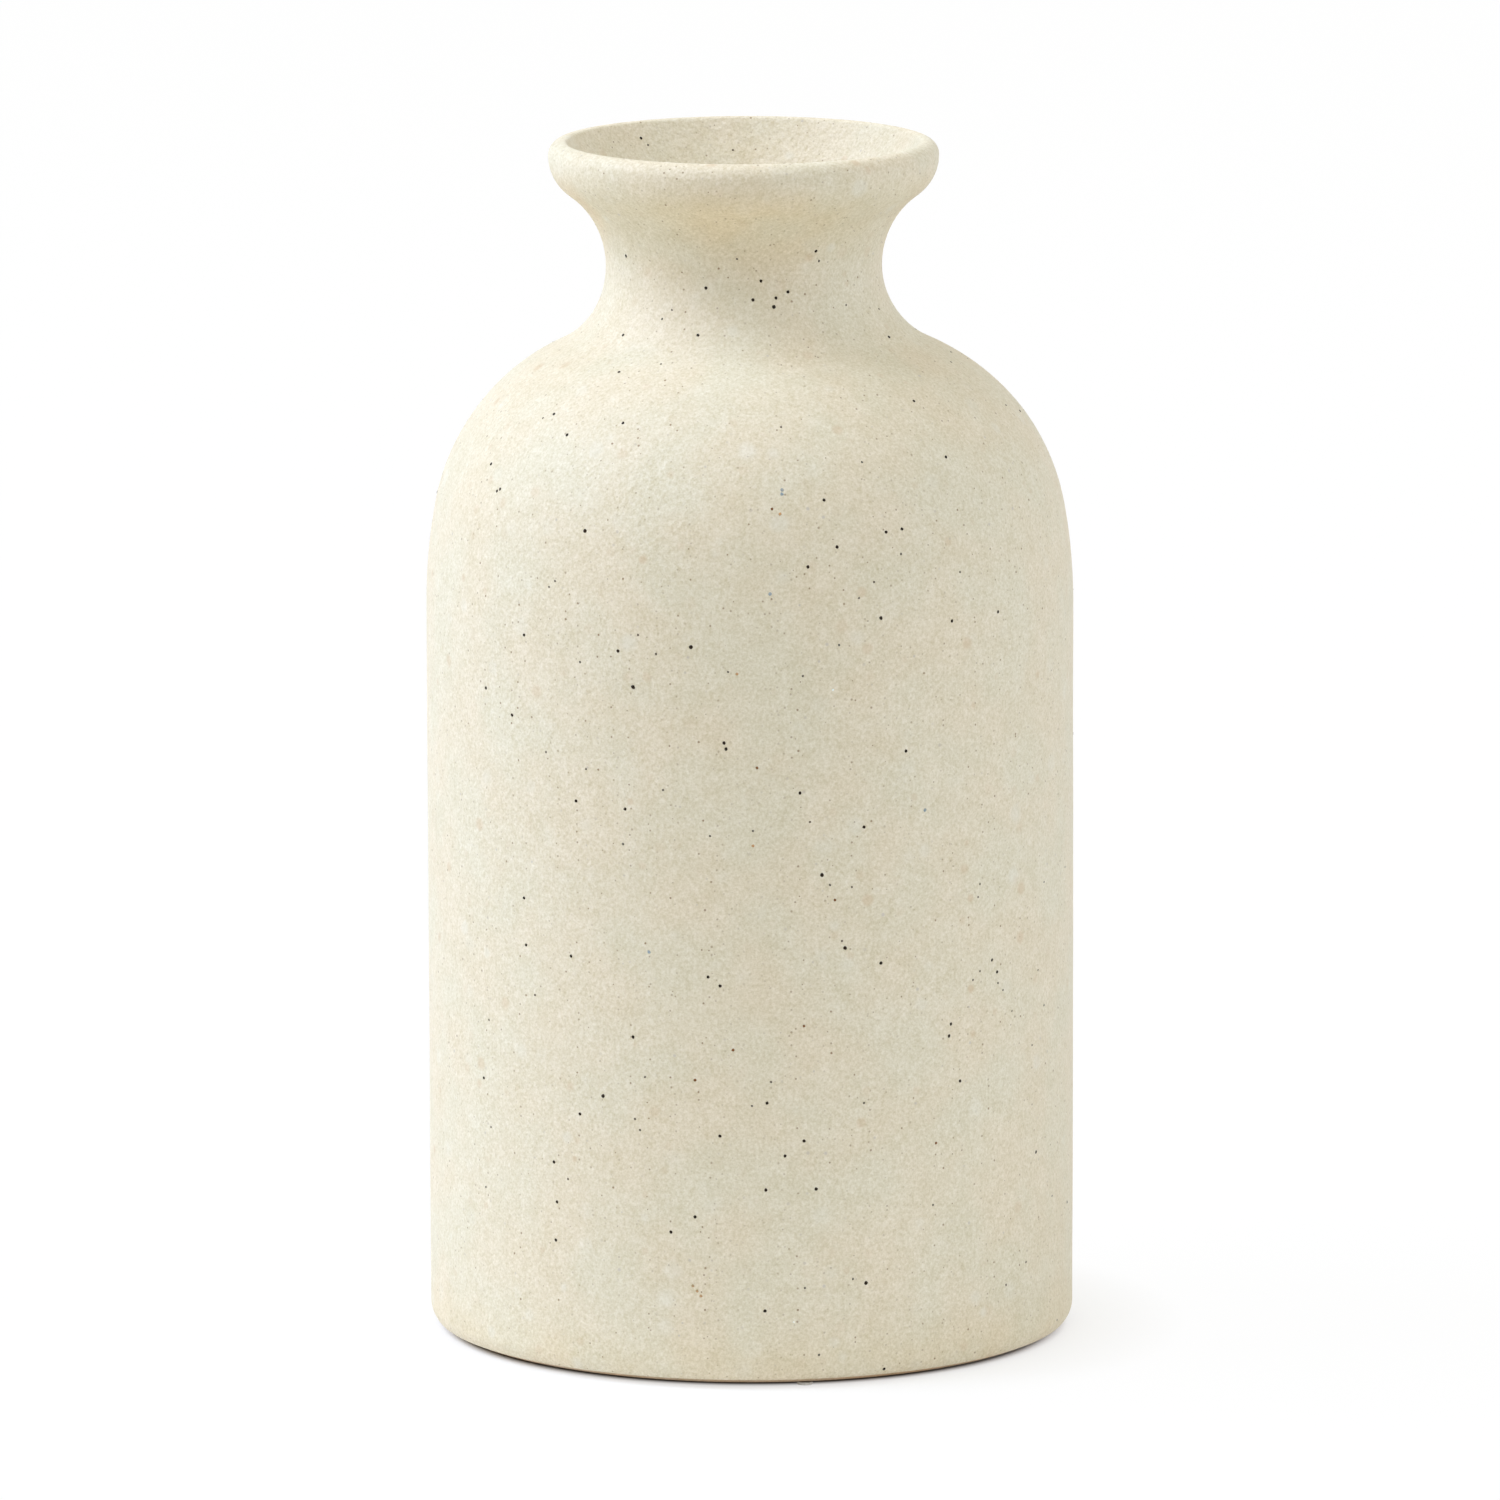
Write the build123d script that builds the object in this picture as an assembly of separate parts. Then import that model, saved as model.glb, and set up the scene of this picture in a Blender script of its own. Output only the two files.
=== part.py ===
from build123d import *
import os
from math import acos, asin, atan2, cos, degrees, radians, sin, sqrt

# A bottle vase of speckled stoneware: a slip-cast clay body, a matt glaze over the outside and the lip,
# a glazed lining, and four clear pads stuck under the foot.
# Millimetres, +Z up. The vase's axis is Z, its front faces -Y, and z = 0 is where the pads meet the table.

# Outside of the vase, measured over the glaze
height = 220.0                  # from the foot to the top of the lip
body_diameter = 119.2           # over the straight sides
shoulder_lower_radius = 102.0   # first curve of the shoulder, which starts at the sides
shoulder_change_angle = 10.5    # degrees above level where the first curve gives way to the second
shoulder_upper_radius = 40.4    # second curve of the shoulder, which runs into the neck
neck_lower_radius = 16.0        # hollow curve from the shoulder up to the throat
neck_diameter = 50.7            # narrowest, at the throat
neck_upper_radius = 16.5        # hollow curve from the throat out to the lip
mouth_diameter = 71.7           # over the lip
lip_under_radius = 8.4          # round underside of the lip
lip_round_share = 0.7           # share of the wall that the round outer edge of the lip takes

# Wall, floor and glaze
wall_thickness = 3.8            # clay with a coat of glaze on each side
glaze_thickness = 0.4           # one coat, outside or inside
floor_thickness = 6.0           # from the foot to the inside floor
inner_corner_radius = 9.0       # where the inside floor turns up into the wall

# Foot
foot_corner_radius = 3.7        # bare clay corner between the foot and the sides
foot_land_width = 11.0          # flat ring that the pads are stuck to
foot_recess_depth = 2.0         # hollow under the floor, inside the ring
glaze_line_height = 1.0         # the outer glaze is wiped off below this height over the foot

# Clear pads, each a soft disc on a film of adhesive
pad_names = ("front", "right", "back", "left")
pad_diameter = 3.0
pad_thickness = 0.5
pad_edge_radius = 0.2
adhesive_thickness = 0.1
pad_overhang = 1.3              # how far a pad stands out past the ring, under the rounded corner
first_pad_angle = 10.0          # degrees from the front of the vase towards its right


def direction(angle):
    """Unit vector in the half section, at an angle in degrees from the outward radius towards up."""
    return Vector(cos(radians(angle)), sin(radians(angle)))


def bearing(start, end):
    """Angle in degrees of the line from one point of the half section to another."""
    way = end - start
    return degrees(atan2(way.Y, way.X))


def round_stretch(centre, radius, start_angle, end_angle, hollow=False):
    """An arc of the skin as its start, middle and end, each with the normal that points off the clay."""
    side = -1 if hollow else 1
    angles = (start_angle, (start_angle + end_angle) / 2, end_angle)
    return [(centre + direction(angle) * radius, direction(angle) * side) for angle in angles]


def straight_stretch(start, end, normal):
    """A straight of the skin, with the one normal that it has."""
    return [(start, normal), (end, normal)]


def under_skin(depth, *stretches):
    """Edges that run parallel to stretches of the skin, at a depth under it."""
    edges = []
    for stretch in stretches:
        points = [point - normal * depth for point, normal in stretch]
        edges.append(ThreePointArc(*points) if len(points) == 3 else Line(*points))
    return edges


def across_skin(station, depth, other_depth):
    """Edge that crosses the wall at one place of the skin, between two depths."""
    point, normal = station
    return Line(point - normal * depth, point - normal * other_depth)


def turned(*edges):
    """Solid of revolution of the half section that the edges enclose."""
    return revolve(Plane.XZ * make_face(edges), axis=Axis.Z)


# Levels
foot_level = pad_thickness + adhesive_thickness
floor_level = foot_level + floor_thickness
recess_level = foot_level + foot_recess_depth
top_level = foot_level + height

# Lip: its outer edge and its inner edge are two arcs that meet at the crest
lip_outer_round = wall_thickness * lip_round_share
lip_inner_round = wall_thickness - lip_outer_round
lip_level = top_level - lip_outer_round
lip_edge_level = top_level - lip_inner_round
lip_radius = mouth_diameter / 2
crest_radius = lip_radius - lip_outer_round
outward = direction(0)

# Neck: the hollow curve above the throat is tangent to the lip's underside, which sets the throat's level.
# Inside, a straight funnel is tangent to the lip's inner edge and to the wall's curve above the throat.
lip_under_centre = Vector(lip_radius - lip_under_radius, lip_level)
neck_upper_x = neck_diameter / 2 + neck_upper_radius
flare_reach = neck_upper_radius + lip_under_radius
throat_level = lip_level - sqrt(flare_reach ** 2 - (neck_upper_x - lip_under_centre.X) ** 2)
neck_upper_centre = Vector(neck_upper_x, throat_level)
neck_lower_centre = Vector(neck_diameter / 2 + neck_lower_radius, throat_level)
flare_angle = bearing(neck_upper_centre, lip_under_centre)
lip_edge_centre = Vector(crest_radius, lip_edge_level)
throat_inner_radius = neck_upper_radius + wall_thickness
funnel_reach = (lip_edge_centre - neck_upper_centre).length
funnel_turn = degrees(acos((throat_inner_radius - lip_inner_round) / funnel_reach))
funnel_angle = bearing(neck_upper_centre, lip_edge_centre) + funnel_turn
funnel_normal = direction(funnel_angle)

# Shoulder: it is tangent to the sides and to the hollow curve below the throat, which sets its level
body_radius = body_diameter / 2
lower_to_upper = direction(shoulder_change_angle) * (shoulder_lower_radius - shoulder_upper_radius)
shoulder_upper_x = body_radius - shoulder_lower_radius + lower_to_upper.X
shoulder_reach = shoulder_upper_radius + neck_lower_radius
shoulder_drop = sqrt(shoulder_reach ** 2 - (neck_lower_centre.X - shoulder_upper_x) ** 2)
shoulder_upper_centre = Vector(shoulder_upper_x, throat_level - shoulder_drop)
shoulder_lower_centre = shoulder_upper_centre - lower_to_upper
shoulder_end_angle = bearing(shoulder_upper_centre, neck_lower_centre)

# Sides: straight, from the foot's corner up to the shoulder
corner_skin_radius = foot_corner_radius + glaze_thickness
corner_centre = Vector(body_radius - corner_skin_radius, foot_level + foot_corner_radius)
side_foot = Vector(body_radius, corner_centre.Y)
side_top = Vector(body_radius, shoulder_lower_centre.Y)

# Inside corner: tangent to the inside of the wall and to the inside floor
corner_depth = wall_thickness + inner_corner_radius
inner_corner_centre = Vector(body_radius - corner_depth, floor_level + inner_corner_radius)
inner_side_foot = Vector(body_radius, inner_corner_centre.Y)

# Stretches of the skin, from the foot up to the lip and down the funnel to the throat
glaze_line_angle = -degrees(asin((foot_corner_radius - glaze_line_height) / corner_skin_radius))
bare_corner = round_stretch(corner_centre, corner_skin_radius, -90, glaze_line_angle)
glazed_corner = round_stretch(corner_centre, corner_skin_radius, glaze_line_angle, 0)
side = straight_stretch(side_foot, side_top, outward)
shoulder = (
    round_stretch(shoulder_lower_centre, shoulder_lower_radius, 0, shoulder_change_angle),
    round_stretch(shoulder_upper_centre, shoulder_upper_radius, shoulder_change_angle, shoulder_end_angle),
    round_stretch(neck_lower_centre, neck_lower_radius, shoulder_end_angle + 180, 180, hollow=True),
)
mouth = (
    round_stretch(neck_upper_centre, neck_upper_radius, 180, flare_angle, hollow=True),
    round_stretch(lip_under_centre, lip_under_radius, flare_angle - 180, 0),
)
crest = (
    round_stretch(Vector(crest_radius, lip_level), lip_outer_round, 0, 90),
    round_stretch(lip_edge_centre, lip_inner_round, 90, funnel_angle),
)
funnel_top = lip_edge_centre + funnel_normal * lip_inner_round
funnel_foot = neck_upper_centre + funnel_normal * throat_inner_radius
funnel = (
    straight_stretch(funnel_top, funnel_foot, funnel_normal),
    round_stretch(neck_upper_centre, throat_inner_radius, funnel_angle, 180),
)
glazed_skin = (glazed_corner, side, *shoulder, *mouth, *crest, *funnel)
throat = mouth[0][0]
glaze_line = glazed_corner[0]

# Stretches of the inside below the throat, given as the skin that the wall would have outside them
inner_side = straight_stretch(inner_side_foot, side_top, outward)
inner_corner = round_stretch(inner_corner_centre, corner_depth, -90, 0)
inner_floor = straight_stretch(Vector(0, floor_level - wall_thickness), inner_corner[0][0], direction(-90))

# Underside of the foot: a flat ring, and an S-curve up to the hollow inside it
ring_inner_radius = corner_centre.X - foot_land_width
ogee_radius = foot_recess_depth / 2
recess_radius = ring_inner_radius - foot_recess_depth
ring_edge = round_stretch(Vector(ring_inner_radius, foot_level + ogee_radius), ogee_radius, -90, -180)
recess_edge = round_stretch(Vector(recess_radius, foot_level + ogee_radius), ogee_radius, 0, 90, hollow=True)

# Clay body: the skin less one coat of glaze, outside and inside
clay_depth = wall_thickness - glaze_thickness
stoneware_body = turned(
    *under_skin(glaze_thickness, bare_corner, *glazed_skin),
    *under_skin(clay_depth, *shoulder, inner_side, inner_corner, inner_floor),
    Line((0, floor_level - glaze_thickness), (0, recess_level)),
    Line((0, recess_level), (recess_radius, recess_level)),
    *under_skin(0, recess_edge, ring_edge),
    Line((ring_inner_radius, foot_level), (corner_centre.X, foot_level)),
)

# Outer glaze: from the wiped line at the foot, over the lip and down the funnel to the throat
outer_glaze = turned(
    *under_skin(0, *glazed_skin),
    across_skin(throat, wall_thickness, clay_depth),
    *under_skin(glaze_thickness, *glazed_skin),
    across_skin(glaze_line, glaze_thickness, 0),
)

# Lining glaze: from the throat down the inside wall and across the floor
liner_glaze = turned(
    *under_skin(wall_thickness, inner_floor, inner_corner, inner_side, *shoulder),
    across_skin(throat, wall_thickness, clay_depth),
    *under_skin(clay_depth, inner_floor, inner_corner, inner_side, *shoulder),
    Line((0, floor_level - glaze_thickness), (0, floor_level)),
)

pieces = {
    "stoneware_body": stoneware_body,
    "outer_glaze": outer_glaze,
    "liner_glaze": liner_glaze,
}

# Pads: spaced evenly round the ring's outer edge, each under its film of adhesive
pad_radius = pad_diameter / 2
pad_circle_radius = corner_centre.X + pad_overhang - pad_radius
standing = (Align.CENTER, Align.CENTER, Align.MIN)
soft_disc = Cylinder(pad_radius, pad_thickness, align=standing)
soft_disc = fillet(soft_disc.edges().sort_by(Axis.Z)[0], pad_edge_radius)
adhesive_disc = Pos(0, 0, pad_thickness) * Cylinder(pad_radius, adhesive_thickness, align=standing)
for index, place in enumerate(pad_names):
    spot = direction(first_pad_angle - 90 + index * 360 / len(pad_names)) * pad_circle_radius
    pieces[f"foot_pad_{place}"] = Pos(spot.X, spot.Y) * soft_disc
    pieces[f"pad_adhesive_{place}"] = Pos(spot.X, spot.Y) * adhesive_disc

os.makedirs("parts", exist_ok=True)
for name, piece in pieces.items():
    piece.label = name
    export_step(piece, f"parts/{name}.step")
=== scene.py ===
import math

import bmesh
import bpy
from mathutils import Matrix, Vector
from mathutils.bvhtree import BVHTree


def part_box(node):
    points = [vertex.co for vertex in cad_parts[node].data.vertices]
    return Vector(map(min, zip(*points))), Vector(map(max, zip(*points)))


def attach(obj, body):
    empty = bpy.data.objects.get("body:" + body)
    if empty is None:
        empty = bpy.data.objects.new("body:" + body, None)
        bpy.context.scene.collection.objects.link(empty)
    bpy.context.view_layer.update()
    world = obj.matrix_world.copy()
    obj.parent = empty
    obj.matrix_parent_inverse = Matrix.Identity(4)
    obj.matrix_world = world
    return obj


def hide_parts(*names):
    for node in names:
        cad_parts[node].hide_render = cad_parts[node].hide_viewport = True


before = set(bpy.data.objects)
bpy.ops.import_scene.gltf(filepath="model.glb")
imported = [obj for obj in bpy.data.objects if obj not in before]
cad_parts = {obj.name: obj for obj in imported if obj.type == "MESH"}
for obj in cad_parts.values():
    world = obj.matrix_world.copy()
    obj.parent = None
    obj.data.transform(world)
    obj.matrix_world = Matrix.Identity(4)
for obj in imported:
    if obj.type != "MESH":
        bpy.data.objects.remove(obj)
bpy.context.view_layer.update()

# Clay body
# The vase itself: one shell of buff stoneware, cast from slip in a plaster mould, fired before glazing.
# Its outline is a chain of tangent arcs. The clay shows only under the foot, where the glaze is wiped off.

# Outline in metres, over the glaze, as the frame has it
glaze_thickness = 0.0004
foot_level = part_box("stoneware_body")[0].z
top_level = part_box("stoneware_body")[1].z + glaze_thickness
body_radius = 0.0596
shoulder_lower_radius = 0.102
shoulder_change_angle = 10.5
shoulder_upper_radius = 0.0404
neck_lower_radius = 0.016
neck_radius = 0.02535
neck_upper_radius = 0.0165
lip_radius = 0.03585
lip_under_radius = 0.0084
lip_outer_round = 0.00266
wall_thickness = 0.0038
floor_thickness = 0.006
inner_corner_radius = 0.009
foot_corner_radius = 0.0037
foot_land_width = 0.011
foot_recess_depth = 0.002
glaze_line_height = 0.001

# Fineness of the meshes: degrees and metres between points of the outline, and faces round the vase, then
# how near to each other points are welded and from what angle an edge is sharp
arc_step = 5.0
small_arc_step = 10.0
arc_run = 0.0016
straight_run = 0.003
turn_segments = 256
weld_distance = 1e-6
sharp_angle = math.radians(50)


def direction(angle):
    """Unit vector in the half section, at an angle in degrees from the outward radius towards up."""
    return Vector((math.cos(math.radians(angle)), math.sin(math.radians(angle))))


def bearing(start, end):
    """Angle in degrees of the line from one point of the half section to another."""
    return math.degrees(math.atan2(end.y - start.y, end.x - start.x))


def round_stretch(centre, radius, start_angle, end_angle, hollow=False, step=arc_step):
    """An arc of the skin as points with their normals, at most a step in degrees and a run apart."""
    turn = end_angle - start_angle
    count = max(math.ceil(abs(turn) / step), math.ceil(math.radians(abs(turn)) * radius / arc_run))
    side = -1 if hollow else 1
    rays = [direction(start_angle + turn * index / count) for index in range(count + 1)]
    return [(centre + ray * radius, ray * side) for ray in rays]


def straight_stretch(start, end, normal):
    """A straight of the skin as points at most a run apart, with the one normal that it has."""
    count = math.ceil((end - start).length / straight_run)
    return [(start.lerp(end, index / count), normal) for index in range(count + 1)]


def under_skin(depth, *stretches):
    """Points that run parallel to stretches of the skin, at a depth under it."""
    points = []
    for stretch in stretches:
        points += [point - normal * depth for point, normal in stretch]
    return points


def backwards(stretches):
    """The same stretches, walked the other way."""
    return [stretch[::-1] for stretch in reversed(stretches)]


# Lip and neck: the hollow curve above the throat is tangent to the lip's underside, which sets its level
outward = direction(0)
lip_inner_round = wall_thickness - lip_outer_round
lip_level = top_level - lip_outer_round
lip_edge_level = top_level - lip_inner_round
crest_radius = lip_radius - lip_outer_round
lip_under_centre = Vector((lip_radius - lip_under_radius, lip_level))
flare_across = neck_radius + neck_upper_radius - lip_under_centre.x
throat_level = lip_level - math.sqrt((neck_upper_radius + lip_under_radius) ** 2 - flare_across ** 2)
neck_upper_centre = Vector((neck_radius + neck_upper_radius, throat_level))
neck_lower_centre = Vector((neck_radius + neck_lower_radius, throat_level))
flare_angle = bearing(neck_upper_centre, lip_under_centre)

# Funnel: a straight inside the mouth, tangent to the lip's inner edge and to the wall's curve at the throat
lip_edge_centre = Vector((crest_radius, lip_edge_level))
throat_inner_radius = neck_upper_radius + wall_thickness
funnel_reach = (lip_edge_centre - neck_upper_centre).length
funnel_turn = math.degrees(math.acos((throat_inner_radius - lip_inner_round) / funnel_reach))
funnel_angle = bearing(neck_upper_centre, lip_edge_centre) + funnel_turn
funnel_normal = direction(funnel_angle)

# Shoulder: tangent to the sides and to the hollow curve below the throat, which sets its level
lower_to_upper = direction(shoulder_change_angle) * (shoulder_lower_radius - shoulder_upper_radius)
shoulder_upper_x = body_radius - shoulder_lower_radius + lower_to_upper.x
shoulder_reach = shoulder_upper_radius + neck_lower_radius
shoulder_drop = math.sqrt(shoulder_reach ** 2 - (neck_lower_centre.x - shoulder_upper_x) ** 2)
shoulder_upper_centre = Vector((shoulder_upper_x, throat_level - shoulder_drop))
shoulder_lower_centre = shoulder_upper_centre - lower_to_upper
shoulder_end_angle = bearing(shoulder_upper_centre, neck_lower_centre)

# Sides, straight from the foot's corner up to the shoulder, and the inside's corner above the floor
corner_skin_radius = foot_corner_radius + glaze_thickness
corner_centre = Vector((body_radius - corner_skin_radius, foot_level + foot_corner_radius))
side_foot = Vector((body_radius, corner_centre.y))
side_top = Vector((body_radius, shoulder_lower_centre.y))
floor_level = foot_level + floor_thickness
corner_depth = wall_thickness + inner_corner_radius
inner_corner_centre = Vector((body_radius - corner_depth, floor_level + inner_corner_radius))
inner_side_foot = Vector((body_radius, inner_corner_centre.y))

# Stretches of the skin, from the foot up to the lip and down the funnel to the throat
glaze_line_angle = -math.degrees(math.asin((foot_corner_radius - glaze_line_height) / corner_skin_radius))
bare_corner = round_stretch(corner_centre, corner_skin_radius, -90, glaze_line_angle)
glazed_corner = round_stretch(corner_centre, corner_skin_radius, glaze_line_angle, 0)
side = straight_stretch(side_foot, side_top, outward)
shoulder = [
    round_stretch(shoulder_lower_centre, shoulder_lower_radius, 0, shoulder_change_angle),
    round_stretch(shoulder_upper_centre, shoulder_upper_radius, shoulder_change_angle, shoulder_end_angle),
    round_stretch(neck_lower_centre, neck_lower_radius, shoulder_end_angle + 180, 180, hollow=True),
]
mouth = [
    round_stretch(neck_upper_centre, neck_upper_radius, 180, flare_angle, hollow=True),
    round_stretch(lip_under_centre, lip_under_radius, flare_angle - 180, 0),
]
crest = [
    round_stretch(Vector((crest_radius, lip_level)), lip_outer_round, 0, 90),
    round_stretch(lip_edge_centre, lip_inner_round, 90, funnel_angle, step=small_arc_step),
]
funnel_top = lip_edge_centre + funnel_normal * lip_inner_round
funnel_foot = neck_upper_centre + funnel_normal * throat_inner_radius
funnel = [
    straight_stretch(funnel_top, funnel_foot, funnel_normal),
    round_stretch(neck_upper_centre, throat_inner_radius, funnel_angle, 180),
]
glazed_skin = [glazed_corner, side, *shoulder, *mouth, *crest, *funnel]

# Stretches of the inside below the throat, given as the skin that the wall would have outside them
inner_side = straight_stretch(inner_side_foot, side_top, outward)
inner_corner = round_stretch(inner_corner_centre, corner_depth, -90, 0)
inner_floor_end = inner_corner[0][0]
inner_floor = straight_stretch(Vector((0, inner_floor_end.y)), inner_floor_end, direction(-90))
inside = [inner_floor, inner_corner, inner_side, *shoulder]

# Underside of the foot: a hollow, an S-curve down from it, and the flat ring that the pads are stuck to
ring_inner_radius = corner_centre.x - foot_land_width
ogee_radius = foot_recess_depth / 2
recess_radius = ring_inner_radius - foot_recess_depth
ogee_level = foot_level + ogee_radius
recess_level = ogee_level + ogee_radius
foot_ring = [
    straight_stretch(Vector((0, recess_level)), Vector((recess_radius, recess_level)), outward),
    round_stretch(Vector((recess_radius, ogee_level)), ogee_radius, 90, 0, hollow=True, step=small_arc_step),
    round_stretch(Vector((ring_inner_radius, ogee_level)), ogee_radius, -180, -90, step=small_arc_step),
    straight_stretch(
        Vector((ring_inner_radius, foot_level)), Vector((corner_centre.x, foot_level)), outward),
]

# Unevenness of a cast and hand-finished vase: hollows that go only inwards, a lean, and a neck that is set
# to one side and tilts with the lean
wobble_depth = 0.00024
wobble_size = 0.045
axis_lean = 0.0006
neck_set = 0.00095
neck_set_start = 0.168


def add(tree, kind, inputs=None, **settings):
    """A node with its settings, and its inputs set to values or linked to other nodes' outputs."""
    made = tree.nodes.new(kind)
    for name, value in settings.items():
        setattr(made, name, value)
    for name, value in (inputs or {}).items():
        if isinstance(value, bpy.types.NodeSocket):
            tree.links.new(value, made.inputs[name])
        else:
            made.inputs[name].default_value = value
    return made


def maths(tree, operation, first, second=0.0):
    """The value of one sum in a node tree."""
    return add(tree, "ShaderNodeMath", {0: first, 1: second}, operation=operation).outputs[0]


def ramp(tree, value, start, end, low=0.0, high=1.0, easing="LINEAR"):
    """A value that goes from low to high as another goes from start to end, and stays level beyond."""
    return add(tree, "ShaderNodeMapRange", {0: value, 1: start, 2: end, 3: low, 4: high},
               interpolation_type=easing).outputs[0]


def blend(tree, share, first, second, way="MIX"):
    """A first colour taken towards a second by a share, or multiplied by it."""
    return add(tree, "ShaderNodeMix", {0: share, 6: first, 7: second},
               data_type="RGBA", blend_type=way).outputs[2]


def start_tree(name, kind, inputs, outputs):
    """An empty node group with named sockets, and its two end nodes."""
    tree = bpy.data.node_groups.new(name, kind)
    for socket, socket_kind, value in inputs:
        made = tree.interface.new_socket(socket, in_out="INPUT", socket_type=socket_kind)
        if value is not None:
            made.default_value = value
    for socket, socket_kind in outputs:
        tree.interface.new_socket(socket, in_out="OUTPUT", socket_type=socket_kind)
    return tree, tree.nodes.new("NodeGroupInput").outputs, tree.nodes.new("NodeGroupOutput").inputs


def turning_tree():
    """Turns the points of a half section round Z, with a slow unevenness and a map of the skin."""
    tree, given, result = start_tree(
        "turned_shape", "GeometryNodeTree",
        [("Half section", "NodeSocketGeometry", None), ("Segments", "NodeSocketInt", 64),
         ("Wobble depth", "NodeSocketFloat", 0.0), ("Wobble size", "NodeSocketFloat", 1.0),
         ("Reference radius", "NodeSocketFloat", 1.0), ("Height", "NodeSocketFloat", 1.0),
         ("Lean", "NodeSocketFloat", 0.0), ("Neck set", "NodeSocketFloat", 0.0),
         ("Neck start", "NodeSocketFloat", 0.0), ("Neck end", "NodeSocketFloat", 1.0),
         ("Material", "NodeSocketMaterial", None)],
        [("Geometry", "NodeSocketGeometry")])
    section = given["Half section"]
    count = add(tree, "GeometryNodeAttributeDomainSize", {"Geometry": section}).outputs["Point Count"]
    columns = maths(tree, "ADD", given["Segments"], 1.0)
    grid = add(tree, "GeometryNodeMeshGrid", {"Vertices X": columns, "Vertices Y": count})
    index = add(tree, "GeometryNodeInputIndex").outputs["Index"]
    ring = maths(tree, "MODULO", index, count)
    column = maths(tree, "FLOOR", maths(tree, "DIVIDE", index, count))
    angle = maths(tree, "MULTIPLY", maths(tree, "DIVIDE", column, given["Segments"]), math.tau)
    place = add(tree, "GeometryNodeInputPosition").outputs["Position"]
    sample = add(tree, "GeometryNodeSampleIndex", {"Geometry": section, "Value": place, "Index": ring},
                 data_type="FLOAT_VECTOR")
    point = add(tree, "ShaderNodeSeparateXYZ", {0: sample.outputs["Value"]}).outputs
    cosine, sine = maths(tree, "COSINE", angle), maths(tree, "SINE", angle)
    reference = given["Reference radius"]
    around = add(tree, "ShaderNodeCombineXYZ", {
        "X": maths(tree, "MULTIPLY", cosine, reference),
        "Y": maths(tree, "MULTIPLY", sine, reference), "Z": point["Z"]}).outputs[0]
    noise = add(tree, "ShaderNodeTexNoise", {
        "Vector": around, "Scale": maths(tree, "DIVIDE", 1.0, given["Wobble size"]), "Detail": 1.0})
    inwards = maths(tree, "MULTIPLY", noise.outputs[0], given["Wobble depth"])
    share = maths(tree, "SUBTRACT", 1.0, maths(tree, "DIVIDE", inwards, reference))
    radius = maths(tree, "MULTIPLY", point["X"], share)
    lean = ramp(tree, point["Z"], 0.0, given["Height"], 0.0, given["Lean"])
    neck_share = ramp(tree, point["Z"], given["Neck start"], given["Neck end"], easing="SMOOTHSTEP")
    aside = maths(tree, "ADD", lean, maths(tree, "MULTIPLY", neck_share, given["Neck set"]))
    straight = maths(tree, "MULTIPLY", cosine, radius)
    tilt = maths(tree, "MULTIPLY", neck_share, maths(tree, "DIVIDE", given["Lean"], given["Height"]))
    turned = add(tree, "ShaderNodeCombineXYZ", {
        "X": maths(tree, "SUBTRACT", straight, aside), "Y": maths(tree, "MULTIPLY", sine, radius),
        "Z": maths(tree, "ADD", point["Z"], maths(tree, "MULTIPLY", straight, tilt))}).outputs[0]
    moved = add(tree, "GeometryNodeSetPosition", {"Geometry": grid.outputs["Mesh"], "Position": turned})
    mapped = add(tree, "GeometryNodeStoreNamedAttribute", {
        "Geometry": moved.outputs[0], "Name": "OFBake", "Value": grid.outputs["UV Map"]},
        data_type="FLOAT2", domain="CORNER")
    closed = add(tree, "GeometryNodeMergeByDistance", {
        "Geometry": mapped.outputs[0], "Distance": weld_distance})
    smooth = add(tree, "GeometryNodeSetShadeSmooth", {"Geometry": closed.outputs[0]})
    whole = add(tree, "GeometryNodeRealizeInstances", {"Geometry": smooth.outputs[0]})
    clad = add(tree, "GeometryNodeSetMaterial", {
        "Geometry": whole.outputs[0], "Material": given["Material"]})
    tree.links.new(clad.outputs[0], result["Geometry"])
    return tree


def settle(piece, tree, values):
    """Runs a geometry tree on a piece with named input values, and leaves the result as its plain mesh."""
    modifier = piece.modifiers.new(tree.name, "NODES")
    modifier.node_group = tree
    for socket in tree.interface.items_tree:
        if socket.name in values:
            modifier[socket.identifier] = values[socket.name]
    seen = piece.evaluated_get(bpy.context.evaluated_depsgraph_get())
    made = bpy.data.meshes.new_from_object(seen)
    piece.modifiers.clear()
    piece.data = made
    return made


turned_shape = turning_tree()


def turned_piece(name, points, material):
    """A piece turned from the points of its half section, closed, facing outwards, at the origin."""
    section = bpy.data.meshes.new(name)
    section.from_pydata([(point.x, 0, point.y) for point in points], [], [])
    piece = bpy.data.objects.new(name, section)
    bpy.context.scene.collection.objects.link(piece)
    made = settle(piece, turned_shape, {
        "Segments": turn_segments, "Wobble depth": wobble_depth, "Wobble size": wobble_size,
        "Reference radius": body_radius, "Height": top_level, "Lean": axis_lean, "Neck set": neck_set,
        "Neck start": neck_set_start, "Neck end": throat_level, "Material": material})
    shape = bmesh.new()
    shape.from_mesh(made)
    bmesh.ops.recalc_face_normals(shape, faces=shape.faces)
    shape.to_mesh(made)
    shape.free()
    made.set_sharp_from_angle(angle=sharp_angle)
    return piece


def object_place(tree):
    """Place on the piece, in metres."""
    return add(tree, "ShaderNodeTexCoord").outputs["Object"]


# Values of the patch noise where the tint is all cool and all warm, and how far green swings with blue
patch_edges = (0.3, 0.7)
green_with_blue = 0.2


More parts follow.
